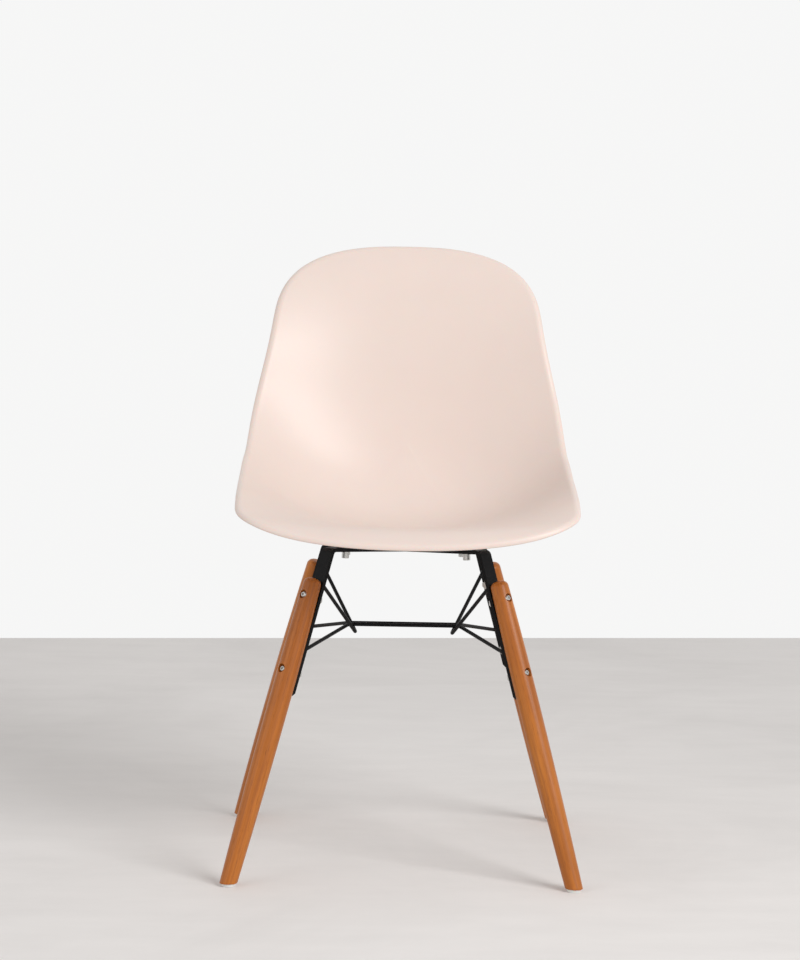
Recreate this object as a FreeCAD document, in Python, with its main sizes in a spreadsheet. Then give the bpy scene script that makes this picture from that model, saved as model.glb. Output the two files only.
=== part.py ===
"""Moulded plastic shell chair on four turned dowel legs and a welded steel cross frame.

Millimetres, +Z up, the front of the seat towards -Y, the floor at Z = 0.
"""
import FreeCAD, Part
import math
import os
import re
import Sketcher
from FreeCAD import Placement, Rotation, Vector

doc = FreeCAD.newDocument("ShellChair")

# Driving sizes, in millimetres and degrees
sheet = doc.addObject("Spreadsheet::Sheet", "Sizes")
driving_sizes = {
    # The shell's centre line, from the lip over the pan and up the back
    "lip_edge_y": -249.9,
    "lip_edge_height": 457.6,
    "lip_drop_angle": 39,
    "lip_length": 62,
    "pan_slope": -7,
    "bend_start": 195,
    "bend_length": 320,
    "back_angle": 74,
    "top_roll_angle": 12,
    "top_roll_length": 80,
    "centre_line_length": 746.5,
    # The shell's half width, and how its outline rounds off at both ends
    "seat_half_width": 218.7,
    "waist_half_width": 210.8,
    "back_half_width": 186.5,
    "top_half_width": 181.6,
    "front_corner_length": 71.8,
    "front_corner_fullness": 2.19,
    "top_corner_length": 127.8,
    "top_corner_fullness": 2.61,
    # How far the sides stand up from the centre line at the reference half width
    "wing_reference": 230,
    "wing_at_lip": 6.2,
    "wing_at_seat": 53,
    "wing_at_bend": 95.6,
    "wing_at_bend_end": 55.4,
    "wing_at_back": 50,
    "wing_at_top": 12,
    "wing_power": 2.3,
    # The shell's wall and its rolled rim
    "shell_wall": 5,
    "rim_radius": 8,
    "rim_turn": 80,
    # Turned legs
    "foot_spread": 226.5,
    "leg_top_spread": 123,
    "front_leg_top": 394.4,
    "back_leg_top": 389,
    "leg_top_radius": 12,
    "leg_swell_radius": 14.2,
    "leg_swell_drop": 167,
    "leg_foot_radius": 11.4,
    "leg_dome_radius": 8,
    "leg_foot_chamfer": 1,
    # Glides
    "glide_radius": 9.75,
    "glide_height": 4,
    "glide_edge": 1,
    "nail_radius": 1.4,
    "nail_length": 18,
    "nail_head_radius": 4,
    "nail_head_height": 1,
    "nail_recess": 0.6,
    # Flat bar frame
    "bar_width": 20,
    "bar_thickness": 5,
    "bar_bend_radius": 4,
    "bar_seat_depth": 10,
    "arm_drop": 158,
    "arm_corner_cut": 4,
    "frame_height": 424.2,
    "frame_tilt": 5.2,
    # Round wire
    "wire_radius": 2.5,
    "wire_bend_radius": 10,
    "vee_corner_x": 65,
    "vee_corner_height": 304,
    "vee_end_drop": 0,
    "spreader_gap": 20,
    "spreader_corner_x": 76,
    "spreader_end_drop": 100,
    # Leg bolts, washers and nuts
    "upper_bolt_drop": 25,
    "lower_bolt_drop": 127.5,
    "bolt_radius": 3,
    "bolt_length": 30,
    "bolt_head_radius": 5.25,
    "bolt_head_height": 3.3,
    "bolt_head_out": 11.4,
    "bolt_socket": 4,
    "bolt_socket_depth": 2,
    "counterbore_radius": 6,
    "washer_radius": 6,
    "washer_thickness": 1.6,
    "nut_flats": 10,
    "nut_height": 5,
    # Shell mounts
    "mount_reach": 81,
    "rubber_radius": 14,
    "rubber_height": 8,
    "rubber_waist": 1.5,
    "boss_radius": 13,
    "boss_search_height": 120,
    "insert_radius": 4.2,
    "insert_length": 10,
    "screw_length": 25,
    "screw_head_radius": 5,
    "screw_head_height": 6,
    "screw_socket": 5,
    "screw_socket_depth": 3,
    # Clearances
    "hole_clearance": 0.25,
    "thread_clearance": 0.05,
    "seat_clearance": 2,
}
for row, (alias, number) in enumerate(driving_sizes.items(), start=1):
    sheet.set(f"A{row}", alias)
    sheet.set(f"B{row}", str(number))
    sheet.setAlias(f"B{row}", alias)
doc.recompute()


known_sizes = {}


def size(text):
    """The value of an expression in the sheet's aliases"""
    if text not in known_sizes:
        known_sizes[text] = float(sheet.evalExpression(in_sheet(text)))
    return known_sizes[text]


def in_sheet(text):
    """An expression in bare aliases, written with the sheet's name before each"""
    return re.sub("[a-z_]+", lambda word: "Sizes." * (word.group() in driving_sizes) + word.group(), text)


# Sketches and features

def new_body(name):
    body = doc.addObject("PartDesign::Body", name)
    body.Label = name
    return body


def new_sketch(body, name, role):
    """A sketch on one of the body's own origin planes"""
    sketch = body.newObject("Sketcher::SketchObject", name)
    plane = next(item for item in body.Origin.OriginFeatures if item.Role == role)
    sketch.AttachmentSupport = [(plane, "")]
    sketch.MapMode = "FlatFace"
    return sketch


def place_point(sketch, index, end, across, along):
    """Tie one sketch point to its two expressions, or set it at two numbers"""
    for kind, text, axis in (("DistanceX", across, -2), ("DistanceY", along, -1)):
        if text == "0":
            sketch.addConstraint(Sketcher.Constraint("PointOnObject", index, end, axis))
        elif isinstance(text, float):
            sketch.addConstraint(Sketcher.Constraint(kind, -1, 1, index, end, text))
        else:
            number = sketch.addConstraint(Sketcher.Constraint(kind, -1, 1, index, end, size(text)))
            sketch.setExpression(f"Constraints[{number}]", in_sheet(text))


def draw_outline(sketch, steps):
    """A closed outline: each step is a corner, with a third and fourth value for an arc's middle"""
    corners = [Vector(*(value if isinstance(value, float) else size(value) for value in step[:2])) for step in steps]
    ends = []
    for step, start, finish in zip(steps, corners, corners[1:] + corners[:1]):
        if len(step) == 2:
            index = sketch.addGeometry(Part.LineSegment(start, finish))
            ends.append((index, 1, 2))
            continue
        middle = Vector(size(step[2]), size(step[3]), 0)
        index = sketch.addGeometry(Part.Arc(start, middle, finish))
        clockwise = (middle - start).cross(finish - start).z < 0
        ends.append((index, 2, 1) if clockwise else (index, 1, 2))
        dot = sketch.addGeometry(Part.Point(middle), True)
        place_point(sketch, dot, 1, step[2], step[3])
        sketch.addConstraint(Sketcher.Constraint("PointOnObject", dot, 1, index))
    for place, step in enumerate(steps):
        index, first, _ = ends[place]
        before, _, last = ends[place - 1]
        sketch.addConstraint(Sketcher.Constraint("Coincident", before, last, index, first))
        place_point(sketch, index, first, step[0], step[1])


def draw_circle(sketch, across, along, radius):
    circle = Part.Circle(Vector(size(across), size(along), 0), Vector(0, 0, 1), size(radius))
    index = sketch.addGeometry(circle)
    place_point(sketch, index, 3, across, along)
    number = sketch.addConstraint(Sketcher.Constraint("Radius", index, size(radius)))
    sketch.setExpression(f"Constraints[{number}]", in_sheet(radius))


def draw_hexagon(sketch, flats):
    """A hexagon about the sketch's origin, given across its flats"""
    half = f"{flats} / 2"
    point = f"{flats} * 0.5 / cos(30)"
    side = f"{flats} * 0.25 / cos(30)"
    draw_outline(sketch, [(point, "0"), (side, half), (f"-1 * {side}", half),
                          (f"-1 * {point}", "0"), (f"-1 * {side}", f"-1 * {half}"), (side, f"-1 * {half}")])


def revolve(body, name, role, steps, seam_turn=0):
    """A solid of revolution about the sketch's upright axis, with its seam turned clear of later cuts"""
    sketch = new_sketch(body, name + "_profile", role)
    sketch.AttachmentOffset = Placement(Vector(), Rotation(Vector(0, 1, 0), seam_turn))
    draw_outline(sketch, steps)
    feature = body.newObject("PartDesign::Revolution", name)
    feature.Profile = sketch
    feature.ReferenceAxis = (sketch, ["V_Axis"])
    feature.Angle = 360
    doc.recompute()
    return feature


def pad(body, name, sketch, length, symmetric=True):
    feature = body.newObject("PartDesign::Pad", name)
    feature.Profile = sketch
    feature.SideType = "Symmetric" if symmetric else "One side"
    feature.setExpression("Length", in_sheet(length))
    doc.recompute()
    return feature


def pocket(body, name, sketch, length=None, reverse=False, symmetric=False):
    """A cut that has to take material away; with no length it goes right through"""
    volume = body.Shape.Volume
    feature = body.newObject("PartDesign::Pocket", name)
    feature.Profile = sketch
    feature.SideType = "Symmetric" if symmetric else "One side"
    feature.Reversed = reverse
    if length is None:
        feature.Type = "ThroughAll"
    else:
        feature.setExpression("Length", in_sheet(length))
    doc.recompute()
    if body.Shape.Volume >= volume:
        raise ValueError(f"{name} cuts nothing from {body.Label}")
    return feature


def edges_where(feature, wanted):
    """The names of a feature's edges that a test picks"""
    return [f"Edge{number}" for number, edge in enumerate(feature.Shape.Edges, start=1) if wanted(edge)]


def soften(body, kind, name, feature, wanted, text):
    """A fillet or chamfer on the edges that a test picks"""
    softened = body.newObject("PartDesign::" + kind, name)
    softened.Base = (feature, edges_where(feature, wanted))
    softened.setExpression("Radius" if kind == "Fillet" else "Size", in_sheet(text))
    doc.recompute()
    return softened


def cylinder(name, radius, start, direction, length):
    """A cylinder from a point along a direction; radius and length are expressions"""
    item = doc.addObject("Part::Cylinder", name)
    item.setExpression("Radius", in_sheet(radius))
    item.setExpression("Height", in_sheet(length))
    item.Placement = Placement(start, Rotation(Vector(0, 0, 1), direction))
    return item


def cut(name, base, tools):
    """One object less several others"""
    tool = tools[0]
    if len(tools) > 1:
        tool = doc.addObject("Part::MultiFuse", name + "_tools")
        tool.Shapes = tools
    item = doc.addObject("Part::Cut", name)
    item.Base = base
    item.Tool = tool
    item.Label = name
    return item


def shape_of(name, shape):
    item = doc.addObject("Part::Feature", name)
    item.Shape = shape
    item.Label = name
    return item


# The four corners of the base

class Corner:
    """One leg's place: its axis lies in the upright plane through the base's diagonal"""

    def __init__(self, name, side, end):
        self.name = name
        self.side = side
        self.end = end
        self.top_height = "front_leg_top" if end < 0 else "back_leg_top"
        self.outward = Vector(side, end, 0).normalize()
        self.foot = Vector(side, end, 0) * size("foot_spread") + Vector(0, 0, size("glide_height"))
        self.top = Vector(side, end, 0) * size("leg_top_spread") + Vector(0, 0, size(self.top_height))
        self.length = (self.top - self.foot).Length
        self.axis = (self.top - self.foot).normalize()
        self.tilt = math.degrees(math.acos(self.axis.z))
        self.normal = (self.outward - self.axis * self.outward.dot(self.axis)).normalize()
        self.turn = Rotation(self.normal, Vector(), self.axis, "ZXY")

    def beside(self, drop, inward=0):
        """A point at a drop below the leg's top, inward from the leg's axis"""
        return self.top - self.axis * drop - self.normal * inward


corners = [Corner("front_left", -1, -1), Corner("front_right", 1, -1),
           Corner("back_left", -1, 1), Corner("back_right", 1, 1)]
bolt_drops = [size("upper_bolt_drop"), size("lower_bolt_drop")]
nodes = []


# Turned dowel legs, swelling in the middle, with a flat for the frame's arm

def make_leg(corner):
    run = "(foot_spread - leg_top_spread) * sqrt(2)"
    rise = f"({corner.top_height} - glide_height)"
    length = f"sqrt(({run}) ^ 2 + {rise} ^ 2)"
    body = new_body("leg_" + corner.name + "_turned")
    revolve(body, "turned", "XZ_Plane", [
        ("0", "-1 * leg_foot_radius"),
        ("leg_foot_radius", "-1 * leg_foot_radius"),
        ("leg_foot_radius", "0"),
        ("leg_swell_radius * 0.75 + leg_foot_radius * 0.25", f"({length} - leg_swell_drop) / 2"),
        ("leg_swell_radius", f"{length} - leg_swell_drop"),
        ("leg_swell_radius * 0.75 + leg_top_radius * 0.25", f"{length} - (leg_swell_drop + leg_dome_radius) / 2"),
        ("leg_top_radius", f"{length} - leg_dome_radius",
         "leg_top_radius - leg_dome_radius * (1 - cos(45))", f"{length} - leg_dome_radius * (1 - sin(45))"),
        ("leg_top_radius - leg_dome_radius", length),
        ("0", length)], seam_turn=35)
    level = new_sketch(body, "floor_cut_line", "XZ_Plane")
    fall = f"2 * leg_swell_radius * {run} / {rise}"
    draw_outline(level, [("-2 * leg_swell_radius", fall), ("2 * leg_swell_radius", f"-1 * {fall}"),
                         ("2 * leg_swell_radius", "-4 * leg_swell_radius"),
                         ("-2 * leg_swell_radius", "-4 * leg_swell_radius")])
    floor_cut = pocket(body, "floor_cut", level, symmetric=True)
    soften(body, "Chamfer", "foot_edge", floor_cut,
           lambda edge: edge.BoundBox.ZMax < size("leg_foot_radius") * 0.6, "leg_foot_chamfer")
    seat = new_sketch(body, "arm_seat_outline", "XZ_Plane")
    bottom = f"{length} - arm_drop - seat_clearance"
    draw_outline(seat, [("-1 * bar_seat_depth", f"{length} + 5"), ("-1 * bar_seat_depth", bottom),
                        ("-3 * bar_seat_depth", bottom), ("-3 * bar_seat_depth", f"{length} + 5")])
    pocket(body, "arm_seat", seat, symmetric=True)
    holes = new_sketch(body, "bolt_hole_circles", "YZ_Plane")
    for drop in ("upper_bolt_drop", "lower_bolt_drop"):
        draw_circle(holes, "0", f"{length} - {drop}", "bolt_radius + hole_clearance")
    pocket(body, "bolt_holes", holes, symmetric=True)
    recesses = new_sketch(body, "counterbore_circles", "YZ_Plane")
    recesses.setExpression("AttachmentOffset.Base.z", in_sheet("bolt_head_out - bolt_head_height"))
    for drop in ("upper_bolt_drop", "lower_bolt_drop"):
        draw_circle(recesses, "0", f"{length} - {drop}", "counterbore_radius")
    pocket(body, "counterbores", recesses, reverse=True)
    body.Placement = Placement(corner.foot, corner.turn)
    hole = cylinder("nail_hole_" + corner.name, "nail_radius + thread_clearance",
                    corner.foot, Vector(0, 0, 1), "nail_length - glide_height + nail_recess + 1")
    return cut("leg_" + corner.name, body, [hole])


legs = {corner.name: make_leg(corner) for corner in corners}
nodes += legs.values()


# White glides, nailed under the feet

def make_glide(corner):
    body = new_body("glide_" + corner.name)
    bore = "nail_radius + thread_clearance"
    recess = "nail_head_radius + hole_clearance"
    floor = "nail_recess + nail_head_height"
    glide = revolve(body, "disc", "XZ_Plane", [
        (recess, "0"), ("glide_radius", "0"), ("glide_radius", "glide_height"), (bore, "glide_height"),
        (bore, floor), (recess, floor)])
    soften(body, "Fillet", "rounded_edge", glide,
           lambda edge: edge.BoundBox.ZMax < 0.01 and edge.BoundBox.XMax > size("glide_radius") - 0.01, "glide_edge")
    body.Placement = Placement(Vector(corner.foot.x, corner.foot.y, 0), Rotation())
    return body


def make_nail():
    body = new_body("nail_pattern")
    revolve(body, "nail", "XZ_Plane", [
        ("0", "nail_recess"), ("nail_head_radius", "nail_recess"),
        ("nail_head_radius", "nail_recess + nail_head_height"), ("nail_radius", "nail_recess + nail_head_height"),
        ("nail_radius", "nail_length - nail_radius"), ("0", "nail_length")])
    return body


nodes += [make_glide(corner) for corner in corners]


def copies(name, pattern, places):
    """A group of like pieces, one at each place"""
    shapes = []
    for place in places:
        shape = pattern.Shape.copy()
        shape.Placement = place
        shapes.append(shape)
    return shape_of(name, Part.makeCompound(shapes))


nail = make_nail()
nodes.append(copies("glide_nails", nail, [Placement(Vector(corner.foot.x, corner.foot.y, 0), Rotation())
                                          for corner in corners]))


# Flat bar frame: one long bar and two half bars, welded into a cross, with their ends bent down

def top_height(corner, reach):
    """The height of the frame's top face at a reach along the corner's diagonal"""
    y = corner.end * reach / math.sqrt(2)
    return size("frame_height") - math.tan(math.radians(size("frame_tilt"))) * y


def top_slope(corner):
    """The unit vector that climbs the top face outward along the corner's diagonal"""
    rise = top_height(corner, 1) - top_height(corner, 0)
    return Vector(corner.outward.x, corner.outward.y, rise).normalize()


def top_normal(corner):
    slope = top_slope(corner)
    return Vector(-slope.z * corner.outward.x, -slope.z * corner.outward.y, slope.dot(corner.outward))


def arm_corner(corner, inward, below):
    """Where a face of the arm meets a face of the top bar, as reach and height"""
    point = corner.beside(0, inward)
    normal = top_normal(corner)
    origin = Vector(0, 0, size("frame_height")) - normal * below
    climb = (origin - point).dot(normal) / corner.axis.dot(normal)
    met = point + corner.axis * climb
    return met.dot(corner.outward), met.z


def arm_side(corner):
    """The arm's side outline from its outer end to its inner end, round the bend's two corners"""
    near, far = size("bar_seat_depth"), size("bar_seat_depth") + size("bar_thickness")
    drop = size("arm_drop")
    ends = [corner.beside(drop, inward) for inward in (near, far)]
    outer_end, inner_end = [(point.dot(corner.outward), point.z) for point in ends]
    return outer_end, arm_corner(corner, near, 0), arm_corner(corner, far, size("bar_thickness")), inner_end


def flat_bar(name, corner, other=None):
    """A bent flat bar in the corner's diagonal plane; with no other end it stops at the cross's middle"""
    outer_end, outer_bend, inner_bend, inner_end = arm_side(corner)
    if other:
        mirrored = [(-reach, height) for reach, height in arm_side(other)]
        points = [outer_end, outer_bend, mirrored[1], mirrored[0], mirrored[3], mirrored[2], inner_bend, inner_end]
    else:
        start = size("bar_width") / 2
        height = top_height(corner, start)
        below = size("bar_thickness") / top_normal(corner).z
        points = [outer_end, outer_bend, (start, height), (start, height - below), inner_bend, inner_end]
    body = new_body(name + "_bent")
    sketch = new_sketch(body, "side_outline", "XZ_Plane")
    draw_outline(sketch, points)
    bar = pad(body, "bar", sketch, "bar_width")

    def runs_across(edge, places):
        box = edge.BoundBox
        return box.YLength > size("bar_width") / 2 and any(
            abs(box.XMin - reach) + abs(box.ZMin - height) < 0.01 for reach, height in places)

    outer = [outer_bend] + ([mirrored[1]] if other else [])
    inner = [inner_bend] + ([mirrored[2]] if other else [])
    bar = soften(body, "Fillet", "inner_bends", bar, lambda edge: runs_across(edge, inner), "bar_bend_radius")
    bar = soften(body, "Fillet", "outer_bends", bar, lambda edge: runs_across(edge, outer),
                 "bar_bend_radius + bar_thickness")

    def at_arm_end(edge):
        middle = edge.BoundBox.Center
        short = abs(edge.Length - size("bar_thickness")) < 0.01
        return short and middle.z < min(outer_bend[1], inner_bend[1]) - size("arm_drop") / 2

    soften(body, "Chamfer", "end_corners", bar, at_arm_end, "arm_corner_cut")
    body.Placement = Placement(Vector(), Rotation(corner.outward, Vector(), Vector(0, 0, 1), "ZXY"))
    tools = []
    for place in [corner] + ([other] if other else []):
        for drop in bolt_drops:
            start = place.beside(drop, size("bar_seat_depth") - 1)
            tools.append(cylinder(f"arm_hole_{place.name}", "bolt_radius + hole_clearance",
                                  start, place.normal * -1, "bar_thickness + 2"))
        start = mount_point(place) + top_normal(place)
        tools.append(cylinder(f"mount_hole_{place.name}", "bolt_radius + hole_clearance",
                              start, top_normal(place) * -1, "bar_thickness + 2"))
    return cut(name, body, tools)


def mount_point(corner):
    """The middle of a shell mount, on the bar's top face"""
    reach = size("mount_reach") * math.sqrt(2)
    return Vector(corner.outward.x * reach, corner.outward.y * reach, top_height(corner, reach))


front_left, front_right, back_left, back_right = corners
long_bar = flat_bar("frame_long_bar", front_left, back_right)
right_bar = flat_bar("frame_half_bar_front_right", front_right)
left_bar = flat_bar("frame_half_bar_back_left", back_left)
bar_at = {"front_left": long_bar, "back_right": long_bar, "front_right": right_bar, "back_left": left_bar}
nodes += [long_bar, right_bar, left_bar]


# Round wires, bent cold and welded to the arms

def bent_path(points, radius):
    """Straight runs joined by arcs that touch them"""
    edges = []
    start = points[0]
    for before, corner, after in zip(points, points[1:], points[2:]):
        back = (before - corner).normalize()
        ahead = (after - corner).normalize()
        half_turn = (math.pi - back.getAngle(ahead)) / 2
        reach = radius * math.tan(half_turn)
        bisector = (back + ahead).normalize()
        first = corner + back * reach
        last = corner + ahead * reach
        middle = corner + bisector * (radius / math.cos(half_turn) - radius)
        edges.append(Part.makeLine(start, first))
        edges.append(Part.Arc(first, middle, last).toShape())
        start = last
    edges.append(Part.makeLine(start, points[-1]))
    return Part.Wire(edges)


def wire_rod(name, points, ends):
    """A bent wire whose ends are cut off at the arms' inner faces"""
    path = shape_of(name + "_path", bent_path(points, size("wire_bend_radius")))
    section = doc.addObject("Part::Circle", name + "_section")
    section.setExpression("Radius", "Sizes.wire_radius")
    section.Placement = Placement(points[0], Rotation(Vector(0, 0, 1), points[1] - points[0]))
    sweep = doc.addObject("Part::Sweep", name + "_sweep")
    sweep.Sections = [section]
    sweep.Spine = (path, [f"Edge{number}" for number in range(1, len(path.Shape.Edges) + 1)])
    sweep.Solid = True
    sweep.Frenet = True
    return cut(name, sweep, ends)


def wire_end(corner, drop):
    """A wire's end, in the middle of the arm's thickness"""
    return corner.beside(drop, size("bar_seat_depth") + size("bar_thickness") / 2)


def vee_points(front, back):
    low = Vector(front.side * size("vee_corner_x"), 0, size("vee_corner_height"))
    return [wire_end(front, size("vee_end_drop")), low, wire_end(back, size("vee_end_drop"))]


for side, front, back in (("left", front_left, back_left), ("right", front_right, back_right)):
    nodes.append(wire_rod("vee_rod_" + side, vee_points(front, back),
                          list(dict.fromkeys([bar_at[front.name], bar_at[back.name]]))))


def spreader_height(corner, y):
    """The height at which a level wire rests on the slope of the vee rod beside it"""
    slope = wire_end(corner, size("vee_end_drop")) - Vector(corner.side * size("vee_corner_x"), 0,
                                                           size("vee_corner_height"))
    length = math.hypot(slope.y, slope.z)
    apart = 2 * size("wire_radius") + size("thread_clearance")
    return size("vee_corner_height") + (apart * length + abs(slope.z * y)) / abs(slope.y)


for end, left, right in (("front", front_left, front_right), ("back", back_left, back_right)):
    y = left.end * size("spreader_gap") / 2
    height = spreader_height(left, y)
    bend_x = size("spreader_corner_x")
    points = [wire_end(left, size("spreader_end_drop")), Vector(-bend_x, y, height), Vector(bend_x, y, height),
              wire_end(right, size("spreader_end_drop"))]
    nodes.append(wire_rod("spreader_rod_" + end, points, [bar_at[left.name], bar_at[right.name]]))


# Leg bolts with domed heads, washers and nuts

def make_bolt(name, head_radius, head_height, length, socket, socket_depth, domed):
    """A socket screw along Z with its head's underside at Z = 0 and its shank below"""
    body = new_body(name + "_pattern")
    crown = "bolt_socket * 0.75" if domed else f"{head_radius} - 0.5"
    shoulder = f"{head_height} * 0.25" if domed else f"{head_height} - 0.5"
    revolve(body, "turned", "XZ_Plane", [
        ("0", f"-1 * {length}"), ("bolt_radius - 0.5", f"-1 * {length}"), ("bolt_radius", f"-1 * {length} + 0.5"),
        ("bolt_radius", "0"), (head_radius, "0"), (head_radius, shoulder), (crown, head_height), ("0", head_height)])
    sketch = new_sketch(body, "socket_outline", "XY_Plane")
    sketch.setExpression("AttachmentOffset.Base.z", in_sheet(f"{head_height} - {socket_depth}"))
    draw_hexagon(sketch, socket)
    pocket(body, "socket", sketch, reverse=True)
    return body


def make_ring(name, radius, thickness):
    """A flat ring along Z that fits the bolts, standing on Z = 0"""
    body = new_body(name + "_pattern")
    bore = "bolt_radius + hole_clearance"
    revolve(body, "turned", "XZ_Plane", [(bore, "0"), (radius, "0"), (radius, thickness), (bore, thickness)])
    return body


def make_nut():
    body = new_body("nut_pattern")
    sketch = new_sketch(body, "hexagon", "XY_Plane")
    draw_hexagon(sketch, "nut_flats")
    draw_circle(sketch, "0", "0", "bolt_radius + thread_clearance")
    pad(body, "blank", sketch, "nut_height", symmetric=False)
    return body


def across_leg(corner, drop, inward):
    """A place on a bolt's axis, with Z pointing outward from the leg"""
    return Placement(corner.beside(drop, inward), Rotation(Vector(0, 0, 1), corner.normal))


bolt_places = [(corner, drop) for corner in corners for drop in bolt_drops]
bolt = make_bolt("bolt", "bolt_head_radius", "bolt_head_height", "bolt_length",
                 "bolt_socket", "bolt_socket_depth", True)
washer = make_ring("washer", "washer_radius", "washer_thickness")
nut = make_nut()
under_head = size("bolt_head_height - bolt_head_out")
under_washer = size("bar_seat_depth + bar_thickness + washer_thickness")
under_nut = under_washer + size("nut_height")
nodes.append(copies("leg_bolts", bolt, [across_leg(corner, drop, under_head) for corner, drop in bolt_places]))
nodes.append(copies("leg_washers", washer, [across_leg(corner, drop, under_washer) for corner, drop in bolt_places]))
nodes.append(copies("leg_nuts", nut, [across_leg(corner, drop, under_nut) for corner, drop in bolt_places]))


# Rubber mounts between the bars and the shell, with screws from below

def on_mount(corner, height):
    """A place on a mount's axis above the bar's top face, with Z along the axis"""
    normal = top_normal(corner)
    return Placement(mount_point(corner) + normal * height, Rotation(Vector(0, 0, 1), normal))


def make_rubber(corner):
    body = new_body("rubber_mount_" + corner.name)
    bore = "bolt_radius + hole_clearance"
    revolve(body, "moulded", "XZ_Plane", [
        (bore, "0"), ("rubber_radius", "0", "rubber_radius - rubber_waist", "rubber_height / 2"),
        ("rubber_radius", "rubber_height"), (bore, "rubber_height")])
    body.Placement = on_mount(corner, 0)
    return body


nodes += [make_rubber(corner) for corner in corners]
screw = make_bolt("screw", "screw_head_radius", "screw_head_height", "screw_length",
                  "screw_socket", "screw_socket_depth", False)
spring_washer = make_ring("spring_washer", "screw_head_radius - 0.2", "washer_thickness")
insert = new_body("insert_pattern")
revolve(insert, "turned", "XZ_Plane", [
    ("bolt_radius + thread_clearance", "0"), ("insert_radius", "0"), ("insert_radius", "insert_length"),
    ("bolt_radius + thread_clearance", "insert_length")])


def group_on_mounts(name, pattern, height, turned=False):
    places = [on_mount(corner, height) for corner in corners]
    if turned:
        places = [Placement(place.Base, place.Rotation.multiply(Rotation(Vector(1, 0, 0), 180))) for place in places]
    return copies(name, pattern, places)


thick = size("bar_thickness")
ring = size("washer_thickness")
nodes.append(group_on_mounts("mount_washers", washer, -thick - ring))
nodes.append(group_on_mounts("mount_spring_washers", spring_washer, -thick - 2 * ring))
nodes.append(group_on_mounts("mount_screws", screw, -thick - 2 * ring, turned=True))
nodes.append(group_on_mounts("threaded_inserts", insert, size("rubber_height")))


# The moulded shell

def ease(share):
    """A step from 0 to 1 with no kink at either end"""
    share = min(1.0, max(0.0, share))
    return share ** 3 * (10 - 15 * share + 6 * share ** 2)


def through(station, knots):
    """A smooth curve through (station, value) knots, level beyond the first and the last"""
    if station <= knots[0][0]:
        return knots[0][1]
    if station >= knots[-1][0]:
        return knots[-1][1]
    slopes = [(after[1] - before[1]) / (after[0] - before[0]) for before, after in zip(knots, knots[2:])]
    slopes = [0.0] + slopes + [0.0]
    for (start, low), (finish, high), leave, arrive in zip(knots, knots[1:], slopes, slopes[1:]):
        if station <= finish:
            span = finish - start
            share = (station - start) / span
            return (low * (1 + 2 * share) * (1 - share) ** 2 + high * share ** 2 * (3 - 2 * share)
                    + span * (leave * share * (1 - share) ** 2 - arrive * share ** 2 * (1 - share)))


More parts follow.
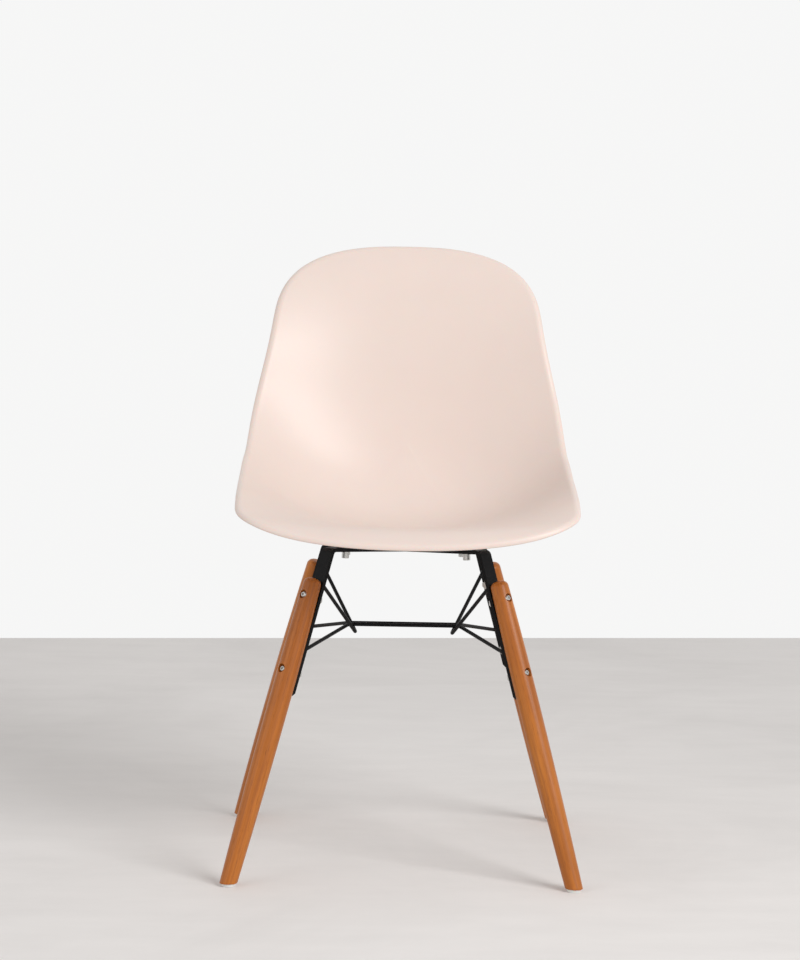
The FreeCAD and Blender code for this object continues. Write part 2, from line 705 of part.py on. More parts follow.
class Shell:
    """The shell's outer skin as a surface over station, along the centre line, and half width"""

    def __init__(self):
        self.length = size("centre_line_length")
        self.bend_end = size("bend_start + bend_length")
        self.step = self.length / 400
        y, z = size("lip_edge_y"), size("lip_edge_height")
        self.line = [(y, z)]
        for count in range(400):
            angle = self.angle((count + 0.5) * self.step)
            y += math.cos(angle) * self.step
            z += math.sin(angle) * self.step
            self.line.append((y, z))
        self.wing_knots = [(0, size("wing_at_lip")), (size("bend_start") * 0.67, size("wing_at_seat")),
                           (size("bend_start + bend_length / 2") * 0.97, size("wing_at_bend")),
                           (self.bend_end, size("wing_at_bend_end")),
                           (self.bend_end * 1.17, size("wing_at_back")), (self.length, size("wing_at_top"))]
        self.width_knots = [(size("bend_start") * 0.75, size("seat_half_width")),
                            (self.bend_end * 0.9, size("waist_half_width")),
                            (self.bend_end * 1.17, size("back_half_width")),
                            (self.length - size("top_corner_length") * 0.75, size("top_half_width"))]

    def angle(self, station):
        """The centre line's climb at a station, in radians"""
        lip = size("lip_drop_angle") * (1 - ease(station / size("lip_length")))
        bend = (size("back_angle") - size("pan_slope")) * ease((station - size("bend_start")) / size("bend_length"))
        roll_start = self.length - size("top_roll_length")
        roll = size("top_roll_angle") * ease((station - roll_start) / size("top_roll_length"))
        return math.radians(size("pan_slope") + lip + bend - roll)

    def centre(self, station):
        place = min(max(station / self.step, 0), len(self.line) - 1.001)
        index = int(place)
        share = place - index
        (y0, z0), (y1, z1) = self.line[index], self.line[index + 1]
        beyond = station - min(max(station, 0), self.length)
        angle = self.angle(min(max(station, 0), self.length))
        return (y0 + (y1 - y0) * share + beyond * math.cos(angle), z0 + (z1 - z0) * share + beyond * math.sin(angle))

    def point(self, station, across):
        """The skin's point at a station and a distance across"""
        y, z = self.centre(station)
        angle = self.angle(min(max(station, 0), self.length))
        wing = through(station, self.wing_knots) * (abs(across) / size("wing_reference")) ** size("wing_power")
        return Vector(across, y - math.sin(angle) * wing, z + math.cos(angle) * wing)

    def normal(self, station, across):
        """The unit vector that points from the skin to the sitter"""
        along = self.point(station + 0.5, across) - self.point(station - 0.5, across)
        over = self.point(station, across + 0.5) - self.point(station, across - 0.5)
        return over.cross(along).normalize()

    def half_width(self, station):
        """The outline's half width, rounded off at the lip and at the top"""
        width = through(station, self.width_knots)
        for distance, corner, fullness in (
                (station, size("front_corner_length"), size("front_corner_fullness")),
                (self.length - station, size("top_corner_length"), size("top_corner_fullness"))):
            if distance < corner:
                width *= max(0.0, 1 - (1 - distance / corner) ** fullness) ** (1 / fullness)
        return width

    def outline(self, count):
        """Evenly spaced (station, half width) points round one half of the outline"""
        dense = []
        for number in range(801):
            station = self.length * 0.5 * (1 - math.cos(math.pi * number / 800))
            dense.append((station, self.half_width(station)))
        travelled = [0.0]
        for before, after in zip(dense, dense[1:]):
            travelled.append(travelled[-1] + math.dist(before, after))
        points = []
        index = 0
        for number in range(count + 1):
            wanted = travelled[-1] * number / count
            while index < len(dense) - 2 and travelled[index + 1] < wanted:
                index += 1
            share = (wanted - travelled[index]) / (travelled[index + 1] - travelled[index])
            points.append(tuple(a + (b - a) * share for a, b in zip(dense[index], dense[index + 1])))
        return points


shell = Shell()
half_points = 20
middle_station = shell.length * 0.72
shrinks = [0.08, 0.3, 0.5, 0.68, 0.83, 0.94, 1.0]


def meridian(outline, index):
    """The skin's section from its middle out to the rim, round the rim and back on the underside"""
    station, across = outline[index]
    wall, radius, turn = size("shell_wall"), size("rim_radius"), math.radians(size("rim_turn"))
    top, under = [], []
    for shrink in shrinks:
        place = (middle_station + (station - middle_station) * shrink, across * shrink)
        point, normal = shell.point(*place), shell.normal(*place)
        top.append(point)
        under.append(point - normal * wall)
    before, after = outline[max(index - 1, 0)], outline[min(index + 1, half_points)]
    if index in (0, half_points):
        tangent = Vector(1, 0, 0)
    else:
        tangent = shell.point(*after) - shell.point(*before)
    out = normal.cross(tangent).normalize()
    if out.dot(point - shell.point(middle_station, 0)) < 0:
        out = out * -1
    rolls = [turn / 2, turn]
    outer = [point + out * radius * math.sin(angle) - normal * radius * (1 - math.cos(angle)) for angle in rolls]
    inner_radius = radius - wall
    base = point - normal * wall
    inner = [base + out * inner_radius * math.sin(angle) - normal * inner_radius * (1 - math.cos(angle))
             for angle in rolls]
    end = (outer[-1] + inner[-1]) * 0.5
    lift = (outer[-1] - inner[-1]) * 0.5
    forward = (out * math.cos(turn) - normal * math.sin(turn)) * (wall / 2)
    edge = [end + lift * math.cos(angle) + forward * math.sin(angle)
            for angle in (math.pi / 2,)]
    return top + outer + edge + inner[::-1] + under[::-1]


def shared_parameters(sections):
    """Rising parameters whose steps are the sections' mean spacing"""
    travelled = [0.0]
    for level in range(1, len(sections[0])):
        steps = [(section[level] - section[level - 1]).Length for section in sections]
        travelled.append(travelled[-1] + sum(steps) / len(steps))
    return travelled


def outline_length(outline):
    return sum(math.dist(before, after) for before, after in zip(outline, outline[1:]))


def make_skin():
    """The closed wall: a spline surface through every section, and a flat patch at each end"""
    outline = shell.outline(half_points)
    right = [meridian(outline, index) for index in range(half_points + 1)]
    left = [[Vector(-point.x, point.y, point.z) for point in section] for section in right[-2:0:-1]]
    sections = right + left
    normal = shell.normal(middle_station, 0)
    centre = shell.point(middle_station, 0)
    for level in (0, -1):
        base = centre if level == 0 else centre - normal * size("shell_wall")
        for section in sections:
            section[level] = section[level] - normal * (section[level] - base).dot(normal)
    along = shared_parameters(sections)
    section_poles = []
    for section in sections:
        curve = Part.BSplineCurve()
        curve.interpolate(Points=section, Parameters=along)
        section_poles.append(curve.getPoles())
    girth = 2 * outline_length(outline)
    around = [girth * number / len(sections) for number in range(len(sections) + 1)]
    rows = []
    for level in range(len(section_poles[0])):
        loop = Part.BSplineCurve()
        loop.interpolate(Points=[poles[level] for poles in section_poles], PeriodicFlag=True, Parameters=around)
        rows.append(loop.getPoles())
    surface = Part.BSplineSurface()
    surface.buildFromPolesMultsKnots(rows, curve.getMultiplicities(), loop.getMultiplicities(),
                                     curve.getKnots(), loop.getKnots(), False, True, curve.Degree, loop.Degree)
    surface.setVNotPeriodic()
    rim_start, rim_end = along[len(shrinks) - 1], along[-len(shrinks)]
    faces = []
    for low, high in ((0, rim_start), (rim_start, rim_end), (rim_end, along[-1])):
        for start, finish in ((0, girth / 2), (girth / 2, girth)):
            part = surface.copy()
            part.segment(low, high, start, finish)
            faces.append(part.toShape())
    for level in (0, along[-1]):
        edges = []
        for start, finish in ((0, girth / 2), (girth / 2, girth)):
            edges.append(surface.uIso(level).toShape(start, finish))
        faces.append(Part.Face(Part.Wire(edges)))
    closed = Part.makeShell(faces)
    closed.sewShape(0.01)
    return Part.Solid(Part.Shell(closed.Faces))


skin = shape_of("shell_skin", make_skin())


def make_boss(corner):
    """A round boss that grows from the shell's underside down to the rubber mount"""
    base = on_mount(corner, size("rubber_height")).Base
    normal = top_normal(corner)
    tall = Part.makeCylinder(size("boss_radius"), size("boss_search_height"), base, normal)
    raised = skin.Shape.copy()
    raised.translate(normal * (size("shell_wall") * 0.4))
    pieces = tall.cut(raised).Solids
    return shape_of("boss_" + corner.name, min(pieces, key=lambda piece: piece.CenterOfMass.z))


bosses = [make_boss(corner) for corner in corners]
moulding = doc.addObject("Part::MultiFuse", "moulding")
moulding.Shapes = [skin] + bosses
insert_holes = []
for corner in corners:
    start = on_mount(corner, size("rubber_height")).Base
    insert_holes.append(cylinder("insert_hole_" + corner.name, "insert_radius + thread_clearance",
                                 start - top_normal(corner), top_normal(corner), "insert_length + 2"))
nodes.append(cut("seat_shell", moulding, insert_holes))

# Checks and files
doc.recompute()
for item in doc.Objects:
    if "Invalid" in item.State or "Error" in item.State:
        raise ValueError(f"{item.Label} failed: {item.State}")
os.makedirs("parts", exist_ok=True)
for node in nodes:
    shape = node.Shape
    if shape.isNull() or not shape.isValid():
        raise ValueError(f"{node.Label} has no valid shape")
    shape.exportStep(f"parts/{node.Label}.step")
    box = shape.BoundBox
    print(f"{node.Label}: {len(shape.Solids)} solid(s), {shape.Volume / 1000:.1f} cm3,"
          f" X {box.XMin:.1f} {box.XMax:.1f} Y {box.YMin:.1f} {box.YMax:.1f} Z {box.ZMin:.1f} {box.ZMax:.1f}")
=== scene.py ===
"""A moulded plastic shell chair on turned wooden legs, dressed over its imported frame."""
import math
import bmesh
import bpy
from mathutils import Matrix, Vector
from mathutils.bvhtree import BVHTree


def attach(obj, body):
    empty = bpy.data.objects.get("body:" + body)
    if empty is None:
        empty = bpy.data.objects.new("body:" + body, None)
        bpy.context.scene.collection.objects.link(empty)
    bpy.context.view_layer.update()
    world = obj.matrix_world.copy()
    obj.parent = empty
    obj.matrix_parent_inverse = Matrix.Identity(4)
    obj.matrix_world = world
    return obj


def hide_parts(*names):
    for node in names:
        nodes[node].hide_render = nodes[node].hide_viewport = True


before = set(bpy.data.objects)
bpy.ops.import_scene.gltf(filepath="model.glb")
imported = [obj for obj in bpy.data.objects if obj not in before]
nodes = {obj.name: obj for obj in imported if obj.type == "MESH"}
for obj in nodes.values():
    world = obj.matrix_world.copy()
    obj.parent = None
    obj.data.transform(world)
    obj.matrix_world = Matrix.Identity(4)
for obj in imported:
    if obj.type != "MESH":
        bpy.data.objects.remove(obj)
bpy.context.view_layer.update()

scene = bpy.context.scene
scene.view_settings.view_transform = "Standard"


# Camera: eye height, four metres in front of the chair, through a long lens.
# It stands slightly to the left of the middle, leans down a little and is rolled by one degree.
camera = bpy.data.objects.new("camera", bpy.data.cameras.new("camera"))
scene.collection.objects.link(camera)
camera.data.sensor_width = 36
camera.data.lens = 114.97
camera.data.clip_end = 60
camera.location = (-0.0608, -4.1745, 0.9067)
camera.rotation_euler = (Matrix.Rotation(math.radians(-0.71), 3, "Z")
                         @ Matrix.Rotation(math.radians(90 - 5.34), 3, "X")
                         @ Matrix.Rotation(math.radians(1.1), 3, "Z")).to_euler()
scene.camera = camera


# The studio: a pale concrete-look floor that ends against a white wall, under large soft lamps.
# The wall is the world's own colour, which only the camera and the glossy pieces see.
def new_material(name, color, roughness, metallic=0.0):
    """A material with its shader set, returned with its node tree and shader"""
    material = bpy.data.materials.new(name)
    material.use_nodes = True
    tree = material.node_tree
    shader = tree.nodes["Principled BSDF"]
    shader.inputs["Base Color"].default_value = (*color, 1)
    shader.inputs["Roughness"].default_value = roughness
    shader.inputs["Metallic"].default_value = metallic
    return material, tree, shader


def add_node(tree, kind, **settings):
    """A node with its properties, or its inputs by name, set"""
    node = tree.nodes.new("ShaderNode" + kind)
    for key, value in settings.items():
        if hasattr(node, key):
            setattr(node, key, value)
        else:
            node.inputs[key.replace("_", " ").title()].default_value = value
    return node


def place(tree, scale=(1, 1, 1), turn=(0, 0, 0), move=(0, 0, 0)):
    """Object coordinates through a Mapping node"""
    mapping = add_node(tree, "Mapping", Scale=scale, Rotation=turn, Location=move)
    tree.links.new(add_node(tree, "TexCoord").outputs["Object"], mapping.inputs["Vector"])
    return mapping.outputs["Vector"]


def noise(tree, vector, scale, detail=4.0, roughness=0.5, distortion=0.0):
    """Cloudy noise from 0 to 1"""
    texture = add_node(tree, "TexNoise", Scale=scale, Detail=detail, Roughness=roughness,
                       Distortion=distortion)
    tree.links.new(vector, texture.inputs["Vector"])
    return texture.outputs["Fac"]


def ramp(tree, factor, *stops):
    """A colour ramp through (place, colour) stops"""
    node = tree.nodes.new("ShaderNodeValToRGB")
    while len(node.color_ramp.elements) < len(stops):
        node.color_ramp.elements.new(0.5)
    for element, (position, color) in zip(node.color_ramp.elements, stops):
        element.position = position
        element.color = (*color, 1) if len(color) == 3 else color
    tree.links.new(factor, node.inputs["Fac"])
    return node.outputs["Color"]


def blend_colors(tree, kind, factor, first, second):
    """Two colours mixed, each a socket or a plain colour"""
    mix = tree.nodes.new("ShaderNodeMix")
    mix.data_type = "RGBA"
    mix.blend_type = kind
    for socket, value in ((mix.inputs[0], factor), (mix.inputs[6], first), (mix.inputs[7], second)):
        if isinstance(value, bpy.types.NodeSocket):
            tree.links.new(value, socket)
        else:
            socket.default_value = value if isinstance(value, float) else (*value, 1)
    return mix.outputs[2]


def spread(tree, factor, low, high):
    """A factor spread between two numbers"""
    node = add_node(tree, "MapRange")
    node.inputs["To Min"].default_value = low
    node.inputs["To Max"].default_value = high
    tree.links.new(factor, node.inputs["Value"])
    return node.outputs["Result"]


def add_bump(tree, shader, height, strength, distance):
    """A fine relief on a material"""
    bump = add_node(tree, "Bump", Strength=strength, Distance=distance)
    tree.links.new(height, bump.inputs["Height"])
    tree.links.new(bump.outputs["Normal"], shader.inputs["Normal"])


floor_mesh = bmesh.new()
floor_corners = [floor_mesh.verts.new(corner) for corner in
                 ((-9, -9, 0), (9, -9, 0), (9, 3.129, 0), (-9, 0.962, 0))]
floor_mesh.faces.new(floor_corners)
floor = bpy.data.objects.new("floor", bpy.data.meshes.new("floor"))
floor_mesh.to_mesh(floor.data)
scene.collection.objects.link(floor)
floor_material, tree, shader = new_material("pale_floor", (0.66, 0.63, 0.61), 0.75)
cloud = noise(tree, place(tree), 1.6, 8.0, 0.62, 0.6)
streak = noise(tree, place(tree, scale=(1, 3, 1)), 5.0, 6.0, 0.6)
tint = ramp(tree, cloud, (0.3, (0.80, 0.775, 0.76)), (0.5, (0.85, 0.825, 0.81)),
            (0.7, (0.885, 0.86, 0.845)))
shade = ramp(tree, streak, (0.3, (0.86, 0.86, 0.86)), (0.7, (1, 1, 1)))
tree.links.new(blend_colors(tree, "MULTIPLY", 0.25, tint, shade), shader.inputs["Base Color"])
floor.data.materials.append(floor_material)

world = bpy.data.worlds.new("studio")
world.use_nodes = True
scene.world = world
tree = world.node_tree
light_level = tree.nodes["Background"]
light_level.inputs["Color"].default_value = (1.0, 0.985, 0.97, 1)
light_level.inputs["Strength"].default_value = 0.54
wall = add_node(tree, "Background", Color=(0.925, 0.925, 0.922, 1), Strength=1.0)
path = add_node(tree, "LightPath")
seen = path.outputs["Is Camera Ray"]
for other in ("Is Glossy Ray", "Is Transmission Ray"):
    either = add_node(tree, "Math", operation="MAXIMUM")
    tree.links.new(seen, either.inputs[0])
    tree.links.new(path.outputs[other], either.inputs[1])
    seen = either.outputs[0]
choice = add_node(tree, "MixShader")
tree.links.new(seen, choice.inputs[0])
tree.links.new(light_level.outputs[0], choice.inputs[1])
tree.links.new(wall.outputs[0], choice.inputs[2])
tree.links.new(choice.outputs[0], tree.nodes["World Output"].inputs["Surface"])

lamp_aim = Vector((0, 0, 0.45))
for name, spot, energy, width, fan in (("key", (2.8, -3.1, 3.2), 60, 2.3, 120),
                                       ("fill", (-3.2, -2.6, 2.2), 9, 2.6, 120)):
    lamp = bpy.data.objects.new(name, bpy.data.lights.new(name, "AREA"))
    lamp.data.energy = energy
    lamp.data.size = width
    lamp.data.spread = math.radians(fan)
    lamp.location = spot
    lamp.rotation_euler = (lamp_aim - Vector(spot)).to_track_quat("-Z", "Y").to_euler()
    scene.collection.objects.link(lamp)


# Four turned dowel legs in stained and lacquered hardwood. Each swells in the middle, has a domed top,
# and a flat cut for the frame's arm, with two bolt holes counterbored from the outer side.
foot_reach, top_reach, glide_height = 0.2265, 0.123, 0.004
front_top, back_top = 0.3944, 0.389


class Corner:
    """One leg's place, on an axis that leans out along the diagonal"""

    def __init__(self, name, side, end):
        self.name, self.side, self.end = name, side, end
        self.foot = Vector((side * foot_reach, end * foot_reach, glide_height))
        self.top = Vector((side * top_reach, end * top_reach, front_top if end < 0 else back_top))
        self.length = (self.top - self.foot).length
        self.axis = (self.top - self.foot).normalized()
        outward = Vector((side, end, 0)).normalized()
        self.normal = (outward - self.axis * outward.dot(self.axis)).normalized()
        self.turn = Matrix((self.normal, self.axis.cross(self.normal), self.axis)).transposed()

    def frame(self, height=0.0, inward=0.0):
        """The place at a height up the leg, with X pointing outward and Z up the leg"""
        return Matrix.Translation(self.foot + self.axis * height - self.normal * inward) @ self.turn.to_4x4()


def finish_piece(name, shape, material, replaced, smooth_angle=35):
    """A bmesh made an object that rides on the chair and stands for its CAD nodes"""
    piece = bpy.data.objects.new(name, bpy.data.meshes.new(name))
    shape.to_mesh(piece.data)
    shape.free()
    piece.data.shade_smooth()
    piece.data.set_sharp_from_angle(angle=math.radians(smooth_angle))
    piece.data.materials.append(material)
    scene.collection.objects.link(piece)
    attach(piece, "root")
    if replaced:
        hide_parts(*replaced)
    return piece


def turn_profile(shape, profile, steps, matrix=None):
    """A (radius, height) profile spun round Z, beside what the shape already holds"""
    points = [shape.verts.new((radius, 0, height)) for radius, height in profile]
    edges = [shape.edges.new(pair) for pair in zip(points, points[1:])]
    bmesh.ops.spin(shape, geom=points + edges, axis=(0, 0, 1), cent=(0, 0, 0), angle=math.tau, steps=steps,
                   use_merge=True)
    made = [vert for vert in shape.verts if not vert.tag]
    bmesh.ops.remove_doubles(shape, verts=made, dist=1e-6)
    made = [vert for vert in shape.verts if not vert.tag]
    bmesh.ops.recalc_face_normals(shape, faces=list({face for vert in made for face in vert.link_faces}))
    if matrix:
        bmesh.ops.transform(shape, matrix=matrix, verts=made)
    for vert in made:
        vert.tag = True


def wood_material(corner):
    """Reddish brown stained wood whose grain runs up one leg"""
    material, tree, shader = new_material("stained_wood_" + corner.name, (0.44, 0.135, 0.018), 0.38)
    back = corner.turn.transposed()
    turn = back.to_euler()
    apart = Vector((0.31 * corner.side, 0.17 * corner.end, 0.9 * corner.end + corner.side))
    move = -(back @ corner.foot) + apart
    along = place(tree, turn=turn, move=move)

    def stretched(scale):
        mapping = add_node(tree, "Mapping", Scale=scale)
        tree.links.new(along, mapping.inputs["Vector"])
        return mapping.outputs["Vector"]

    broad = noise(tree, stretched((26, 26, 2.2)), 1.0, 3.0, 0.5, 0.4)
    figure = add_node(tree, "TexWave", wave_type="BANDS", bands_direction="X", Scale=28.0, Distortion=9.0,
                      Detail=4.0)
    figure.inputs["Detail Scale"].default_value = 1.6
    tree.links.new(stretched((1, 0.55, 0.05)), figure.inputs["Vector"])
    fine = noise(tree, stretched((420, 420, 9)), 1.0, 5.0, 0.6)
    pores = noise(tree, stretched((1500, 1500, 60)), 1.0, 2.0, 0.5)
    tone = ramp(tree, broad, (0.25, (0.34, 0.092, 0.010)), (0.5, (0.47, 0.145, 0.018)),
                (0.78, (0.60, 0.21, 0.032)))
    for strength, pattern, stops in (
            (0.3, figure.outputs["Fac"], ((0.0, (0.62, 0.52, 0.45)), (0.55, (1, 1, 1)),
                                          (1.0, (1.08, 1.04, 1.0)))),
            (0.38, fine, ((0.33, (0.55, 0.46, 0.40)), (0.58, (1, 1, 1)))),
            (0.7, pores, ((0.30, (0.45, 0.38, 0.33)), (0.38, (1, 1, 1))))):
        tone = blend_colors(tree, "MULTIPLY", strength, tone, ramp(tree, pattern, *stops))
    tree.links.new(tone, shader.inputs["Base Color"])
    tree.links.new(spread(tree, fine, 0.46, 0.34), shader.inputs["Roughness"])
    shader.inputs["Specular IOR Level"].default_value = 0.3
    shader.inputs["Coat Weight"].default_value = 0.12
    shader.inputs["Coat Roughness"].default_value = 0.22
    add_bump(tree, shader, pores, 0.18, 0.0004)
    return material


def cut_shape(piece, cutters):
    """Cut bmesh cutters out of a piece, and keep the result as its mesh"""
    tool = bpy.data.objects.new("cutter", bpy.data.meshes.new("cutter"))
    cutters.to_mesh(tool.data)
    cutters.free()
    scene.collection.objects.link(tool)
    difference = piece.modifiers.new("cut", "BOOLEAN")
    difference.object = tool
    difference.solver = "EXACT"
    bevel = piece.modifiers.new("softened", "BEVEL")
    bevel.width = 0.0004
    bevel.segments = 2
    bevel.angle_limit = math.radians(40)
    whole = bpy.data.meshes.new_from_object(piece.evaluated_get(bpy.context.evaluated_depsgraph_get()))
    piece.modifiers.clear()
    piece.data = whole
    piece.data.shade_smooth()
    piece.data.set_sharp_from_angle(angle=math.radians(30))
    bpy.data.objects.remove(tool)


corners = [Corner("front_left", -1, -1), Corner("front_right", 1, -1),
           Corner("back_left", -1, 1), Corner("back_right", 1, 1)]
foot_radius, swell_radius, top_radius, dome_radius = 0.0114, 0.0142, 0.012, 0.008
swell_drop, stub, curve_steps, dome_steps = 0.167, 0.012, 22, 8
arm_seat_length, arm_seat_depth = 0.160, 0.020
bolt_drops, bolt_hole, counterbore, counterbore_floor = (0.025, 0.1275), 0.00325, 0.006, 0.0081
for corner in corners:
    # the dowel's outline swells from its foot and narrows again to the start of its dome
    swell = corner.length - swell_drop
    heights = ([-stub] + [corner.length * step / curve_steps for step in range(curve_steps)]
               + [corner.length - dome_radius])
    heights = sorted(height for height in heights if height <= corner.length - dome_radius)
    dowel = []
    for height in heights:
        share = (height - swell) / (swell if height < swell else corner.length - dome_radius - swell)
        end_radius = foot_radius if height < swell else top_radius
        dowel.append((max(swell_radius - (swell_radius - end_radius) * share * share, foot_radius), height))
    for step in range(1, dome_steps + 1):
        angle = math.radians(90 * step / dome_steps)
        dowel.append((top_radius - dome_radius * (1 - math.cos(angle)),
                      corner.length - dome_radius * (1 - math.sin(angle))))
    shape = bmesh.new()
    turn_profile(shape, [(0, -stub)] + dowel + [(0, corner.length)], 64, corner.frame())
    cut = bmesh.ops.bisect_plane(shape, geom=shape.verts[:] + shape.edges[:] + shape.faces[:],
                                 plane_co=(0, 0, glide_height), plane_no=(0, 0, -1), clear_outer=True)
    rim = [item for item in cut["geom_cut"] if isinstance(item, bmesh.types.BMEdge)]
    bmesh.ops.contextual_create(shape, geom=rim)
    bmesh.ops.bevel(shape, geom=rim, offset=0.001, segments=2, profile=0.5, affect="EDGES", material=-1)
    leg = finish_piece("turned_leg_" + corner.name, shape, wood_material(corner),
                       ["leg_" + corner.name])
    cutters = bmesh.new()
    seat_low, seat_high = corner.length - arm_seat_length, corner.length + 0.01
    bmesh.ops.create_cube(cutters, size=1, matrix=corner.frame((seat_low + seat_high) / 2, arm_seat_depth)
                          @ Matrix.Diagonal((arm_seat_depth, 0.06, seat_high - seat_low, 1)))
    for drop in bolt_drops:
        across = corner.frame(corner.length - drop) @ Matrix.Rotation(math.pi / 2, 4, "Y")
        bmesh.ops.create_cone(cutters, cap_ends=True, segments=32, radius1=bolt_hole, radius2=bolt_hole,
                              depth=0.06, matrix=across)
        bmesh.ops.create_cone(cutters, cap_ends=True, segments=48, radius1=counterbore, radius2=counterbore,
                              depth=0.02, matrix=across @ Matrix.Translation((0, 0, counterbore_floor + 0.01)))
    cut_shape(leg, cutters)


# Four white nylon glides, each nailed up into a foot.
glide_material, tree, shader = new_material("white_nylon", (0.80, 0.80, 0.78), 0.45)
tree.links.new(spread(tree, noise(tree, place(tree), 900.0), 0.38, 0.55), shader.inputs["Roughness"])
shader.inputs["Subsurface Weight"].default_value = 0.15
shader.inputs["Subsurface Scale"].default_value = 0.002
add_bump(tree, shader, noise(tree, place(tree), 2500.0), 0.08, 0.0003)
for corner in corners:
    shape = bmesh.new()
    turn_profile(shape, [(0.00145, 0.004), (0.00975, 0.004), (0.00975, 0.001), (0.00945, 0.0003),
                         (0.00875, 0), (0.0046, 0), (0.00425, 0.0003), (0.00425, 0.0016), (0.00145, 0.0016),
                         (0.00145, 0.004)], 48, Matrix.Translation((corner.foot.x, corner.foot.y, 0)))
    finish_piece("nylon_glide_" + corner.name, shape, glide_material, ["glide_" + corner.name])


# The steel frame: one long flat bar and two half bars bent down at their ends, and four round wires,
# all welded and then powder coated satin black.
black, tree, shader = new_material("black_powder_coat", (0.005, 0.005, 0.0055), 0.42)
shader.inputs["Specular IOR Level"].default_value = 0.12
orange_peel = noise(tree, place(tree), 900.0, 3.0)
tree.links.new(spread(tree, orange_peel, 0.36, 0.5), shader.inputs["Roughness"])
add_bump(tree, shader, orange_peel, 0.12, 0.0003)
for name in ("frame_long_bar", "frame_half_bar_front_right", "frame_half_bar_back_left", "vee_rod_left",
             "vee_rod_right", "spreader_rod_front", "spreader_rod_back"):
    nodes[name].data.materials.clear()
    nodes[name].data.materials.append(black)


# Zinc-plated hardware: domed socket bolts with washers and nuts through the legs, and the shell's screws
# with their flat and spring washers. The inserts in the shell are brass.
zinc, tree, shader = new_material("bright_zinc", (0.62, 0.61, 0.585), 0.3, 1.0)
plating = noise(tree, place(tree), 600.0, 4.0)
tree.links.new(spread(tree, plating, 0.24, 0.42), shader.inputs["Roughness"])
tree.links.new(ramp(tree, noise(tree, place(tree), 120.0), (0.3, (0.55, 0.545, 0.52)),
                    (0.7, (0.66, 0.65, 0.63))), shader.inputs["Base Color"])
brass, tree, shader = new_material("turned_brass", (0.72, 0.53, 0.24), 0.34, 1.0)
tree.links.new(spread(tree, noise(tree, place(tree), 500.0), 0.28, 0.45), shader.inputs["Roughness"])
rubber, tree, shader = new_material("black_rubber", (0.022, 0.021, 0.021), 0.78)
tree.links.new(spread(tree, noise(tree, place(tree), 700.0), 0.7, 0.9), shader.inputs["Roughness"])
add_bump(tree, shader, noise(tree, place(tree), 1200.0), 0.2, 0.0004)
for name, material in (("glide_nails", zinc), ("leg_bolts", zinc), ("leg_washers", zinc), ("leg_nuts", zinc),
                       ("mount_washers", zinc), ("mount_spring_washers", zinc), ("mount_screws", zinc),
                       ("threaded_inserts", brass), ("rubber_mount_front_left", rubber),
                       ("rubber_mount_front_right", rubber), ("rubber_mount_back_left", rubber),
                       ("rubber_mount_back_right", rubber)):
    nodes[name].data.materials.clear()
    nodes[name].data.materials.append(material)


# The shell: seat and back in one injection-moulded sheet of satin pink polypropylene, 5 mm thick,
# with its edge rolled over all round, and four bosses underneath for the threaded inserts.
lip_point = (-0.2499, 0.4576)
line_length, bend_start, bend_length = 0.7465, 0.195, 0.320
bend_end = bend_start + bend_length
lip_length, top_length, line_steps, outline_steps = 0.062, 0.080, 400, 800
pan_angle, lip_rise, back_rise, top_ease = -7, 39, 81, 12
wall_thickness, rim_radius, rim_turn = 0.005, 0.008, math.radians(80)
front_corner, front_fullness, top_corner, top_fullness = 0.0718, 2.19, 0.1278, 2.61
wing_reference, wing_power = 0.230, 2.3
seat_station, back_station = bend_start * 0.67, bend_end * 1.17
deepest_station = (bend_start + bend_length / 2) * 0.97
wing_knots = [(0, 0.0062), (seat_station, 0.053), (deepest_station, 0.0956), (bend_end, 0.0554),
              (back_station, 0.050), (line_length, 0.012)]
width_knots = [(bend_start * 0.75, 0.2187), (bend_end * 0.9, 0.2108), (back_station, 0.1865),
               (line_length - top_corner * 0.75, 0.1816)]


def ease(share):
    """A share from 0 to 1 that starts and stops gently"""
    share = min(1.0, max(0.0, share))
    return share ** 3 * (10 - 15 * share + 6 * share ** 2)


def through(station, knots):
    """A smooth curve through (station, value) knots, level beyond the first and the last"""
    if station <= knots[0][0]:
        return knots[0][1]
    if station >= knots[-1][0]:
        return knots[-1][1]
    slopes = [0.0] + [(after[1] - before[1]) / (after[0] - before[0])
                      for before, after in zip(knots, knots[2:])] + [0.0]
    for (start, low), (finish, high), leave, arrive in zip(knots, knots[1:], slopes, slopes[1:]):
        if station <= finish:
            span = finish - start
            share = (station - start) / span
            return (low * (1 + 2 * share) * (1 - share) ** 2 + high * share ** 2 * (3 - 2 * share)
                    + span * (leave * share * (1 - share) ** 2 - arrive * share ** 2 * (1 - share)))


def climb(station):
    """The centre line's angle at a station"""
    return math.radians(pan_angle + lip_rise * (1 - ease(station / lip_length))
                        + back_rise * ease((station - bend_start) / bend_length)
                        - top_ease * ease((station - line_length + top_length) / top_length))


line_step = line_length / line_steps
centre_line = [Vector((0, *lip_point))]
for count in range(line_steps):
    angle = climb((count + 0.5) * line_step)
    centre_line.append(centre_line[-1] + Vector((0, math.cos(angle), math.sin(angle))) * line_step)


def shell_point(station, across):
    """A point of the shell's inner face, by its way along the centre line and across it"""
    inside = min(max(station, 0.0), line_length)
    index = min(int(inside / line_step), line_steps - 1)
    angle = climb(inside)
    ahead = Vector((0, math.cos(angle), math.sin(angle)))
    centre = centre_line[index].lerp(centre_line[index + 1], inside / line_step - index)
    wing = through(station, wing_knots) * (abs(across) / wing_reference) ** wing_power
    return centre + ahead * (station - inside) + Vector((across, -ahead.z * wing, ahead.y * wing))


def shell_normal(station, across):
    """Points from the shell to the sitter"""
    nudge = 0.0005
    along = shell_point(station + nudge, across) - shell_point(station - nudge, across)
    over = shell_point(station, across + nudge) - shell_point(station, across - nudge)
    return over.cross(along).normalized()


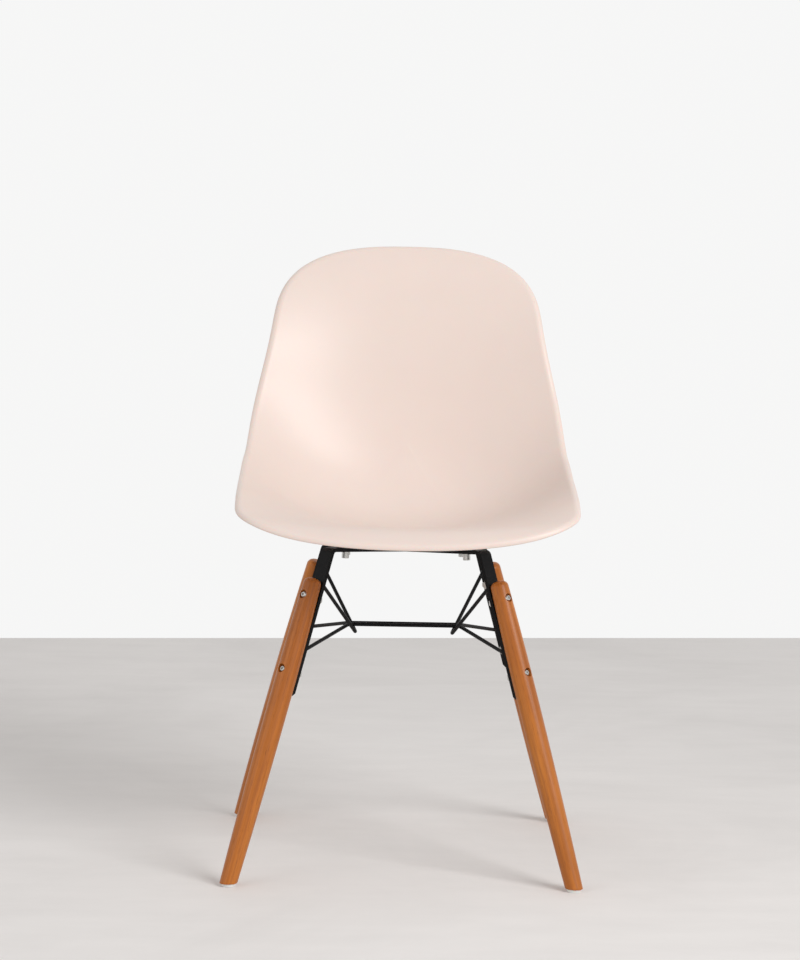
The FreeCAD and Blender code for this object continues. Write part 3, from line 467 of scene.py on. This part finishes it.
def half_width(station):
    """Half the shell's width, with its rounded corners in front and at the top"""
    width = through(station, width_knots)
    for distance, corner, fullness in ((station, front_corner, front_fullness),
                                       (line_length - station, top_corner, top_fullness)):
        if distance < corner:
            width *= max(0.0, 1 - (1 - distance / corner) ** fullness) ** (1 / fullness)
    return width


half_spokes, rings, roll_rings = 80, 26, 5
stations = [line_length * 0.5 * (1 - math.cos(math.pi * number / outline_steps))
            for number in range(outline_steps + 1)]
edge = [(station, half_width(station)) for station in stations]
travelled = [0.0]
for before, after in zip(edge, edge[1:]):
    travelled.append(travelled[-1] + math.dist(before, after))
# the outline's points stand at equal steps along the edge, one for each spoke of the sheet
outline = []
index = 0
for number in range(half_spokes + 1):
    wanted = travelled[-1] * number / half_spokes
    while index < len(edge) - 2 and travelled[index + 1] < wanted:
        index += 1
    share = (wanted - travelled[index]) / (travelled[index + 1] - travelled[index])
    outline.append(Vector(edge[index]).lerp(Vector(edge[index + 1]), share))
middle_station = line_length * 0.62
middle_point = shell_point(middle_station, 0)


def shell_vertex(spoke, ring):
    """Where a vertex of the flat sheet of spokes and rings goes on the moulded shell"""
    side = 1 if spoke <= half_spokes else -1
    number = spoke if side > 0 else 2 * half_spokes - spoke
    share = min(ring / (rings - roll_rings), 1.0)
    share = 1 - (1 - share) ** 1.25
    station = middle_station + (outline[number].x - middle_station) * share
    across = outline[number].y * share
    point = shell_point(station, across)
    turned = rim_turn * max(0, ring - (rings - roll_rings)) / roll_rings
    if turned > 0:
        before, after = outline[max(number - 1, 0)], outline[min(number + 1, half_spokes)]
        tangent = Vector((1, 0, 0))
        if 0 < number < half_spokes:
            tangent = shell_point(*after) - shell_point(*before)
        normal = shell_normal(station, across)
        out = normal.cross(tangent).normalized()
        if out.dot(point - middle_point) < 0:
            out.negate()
        point = point + out * rim_radius * math.sin(turned) - normal * rim_radius * (1 - math.cos(turned))
    return Vector((point.x * side, point.y, point.z))


waist_station, waist_reach, waist_ease = 0.385, 0.12, 0.85


def eased_vertex(spoke, ring):
    """The same place with the rim's turn at the waist eased along the outline"""
    number = spoke if spoke <= half_spokes else 2 * half_spokes - spoke
    share = waist_ease * ease(1.5 - abs(outline[number].x - waist_station) / waist_reach)
    point = shell_vertex(spoke, ring)
    if share == 0:
        return point
    near = [shell_vertex(spoke + step, ring) for step in (-4, -2, 0, 2, 4)]
    return point.lerp((near[0] + near[1] * 4 + near[2] * 6 + near[3] * 4 + near[4]) / 16, share)


sheet = bmesh.new()
bmesh.ops.create_grid(sheet, x_segments=2 * half_spokes, y_segments=rings, size=1)
for vert in sheet.verts:
    vert.co = eased_vertex(round((vert.co.x + 1) * half_spokes), round((vert.co.y + 1) / 2 * rings))
bmesh.ops.remove_doubles(sheet, verts=sheet.verts, dist=1e-5)
bmesh.ops.recalc_face_normals(sheet, faces=sheet.faces)
sheet.faces.ensure_lookup_table()
middle_face = min(sheet.faces, key=lambda face: (face.calc_center_median() - middle_point).length)
if middle_face.normal.dot(shell_normal(middle_station, 0.01)) < 0:
    bmesh.ops.reverse_faces(sheet, faces=sheet.faces)

polypropylene, tree, shader = new_material("satin_polypropylene", (0.80, 0.675, 0.615), 0.39)
grain = noise(tree, place(tree), 1400.0, 2.0)
cloud = noise(tree, place(tree), 9.0, 3.0)
tree.links.new(ramp(tree, cloud, (0.3, (0.792, 0.668, 0.608)), (0.7, (0.808, 0.682, 0.622))),
               shader.inputs["Base Color"])
tree.links.new(spread(tree, grain, 0.35, 0.44), shader.inputs["Roughness"])
shader.inputs["Subsurface Weight"].default_value = 0.12
shader.inputs["Subsurface Scale"].default_value = 0.004
add_bump(tree, shader, grain, 0.02, 0.0002)

underside = BVHTree.FromBMesh(sheet)
shell = finish_piece("moulded_shell", sheet, polypropylene, ["seat_shell"], 180)
thicken = shell.modifiers.new("wall", "SOLIDIFY")
thicken.thickness = wall_thickness
thicken.offset = -1
thicken.use_even_offset = True
round_edge = shell.modifiers.new("round_edge", "BEVEL")
round_edge.width = 0.0022
round_edge.segments = 3
round_edge.angle_limit = math.radians(50)
smoother = shell.modifiers.new("smoother", "SUBSURF")
smoother.levels = smoother.render_levels = 1

# Four bosses of the same plastic, moulded in one with the shell, grow down from it to the rubber mounts.
# Each has a hole for its brass insert, and its upper end is carried up to the shell's underside.
frame_height, frame_fall, mount_reach = 0.4242, math.tan(math.radians(5.2)), 0.081
rubber_height, boss_open_height, boss_bite = 0.008, 0.0135, 0.003
for corner in corners:
    rate = -frame_fall * corner.end / math.sqrt(2)
    outward = Vector((corner.side, corner.end, 0)) / math.sqrt(2)
    up = Vector((-rate * outward.x, -rate * outward.y, 1)).normalized()
    mount = Vector((corner.side * mount_reach, corner.end * mount_reach,
                    frame_height - frame_fall * corner.end * mount_reach))
    base = Matrix.Translation(mount + up * rubber_height) @ up.to_track_quat("Z", "Y").to_matrix().to_4x4()
    shape = bmesh.new()
    turn_profile(shape, [(0.00425, 0.012), (0.00425, 0), (0.0124, 0), (0.013, 0.0006), (0.0131, 0.014)],
                 40, base)
    for vert in shape.verts:
        height = (vert.co - mount).dot(up) - rubber_height
        if height > boss_open_height:
            met = underside.ray_cast(vert.co, up)[0]
            vert.co = met - up * boss_bite
    finish_piece("shell_boss_" + corner.name, shape, polypropylene, [])
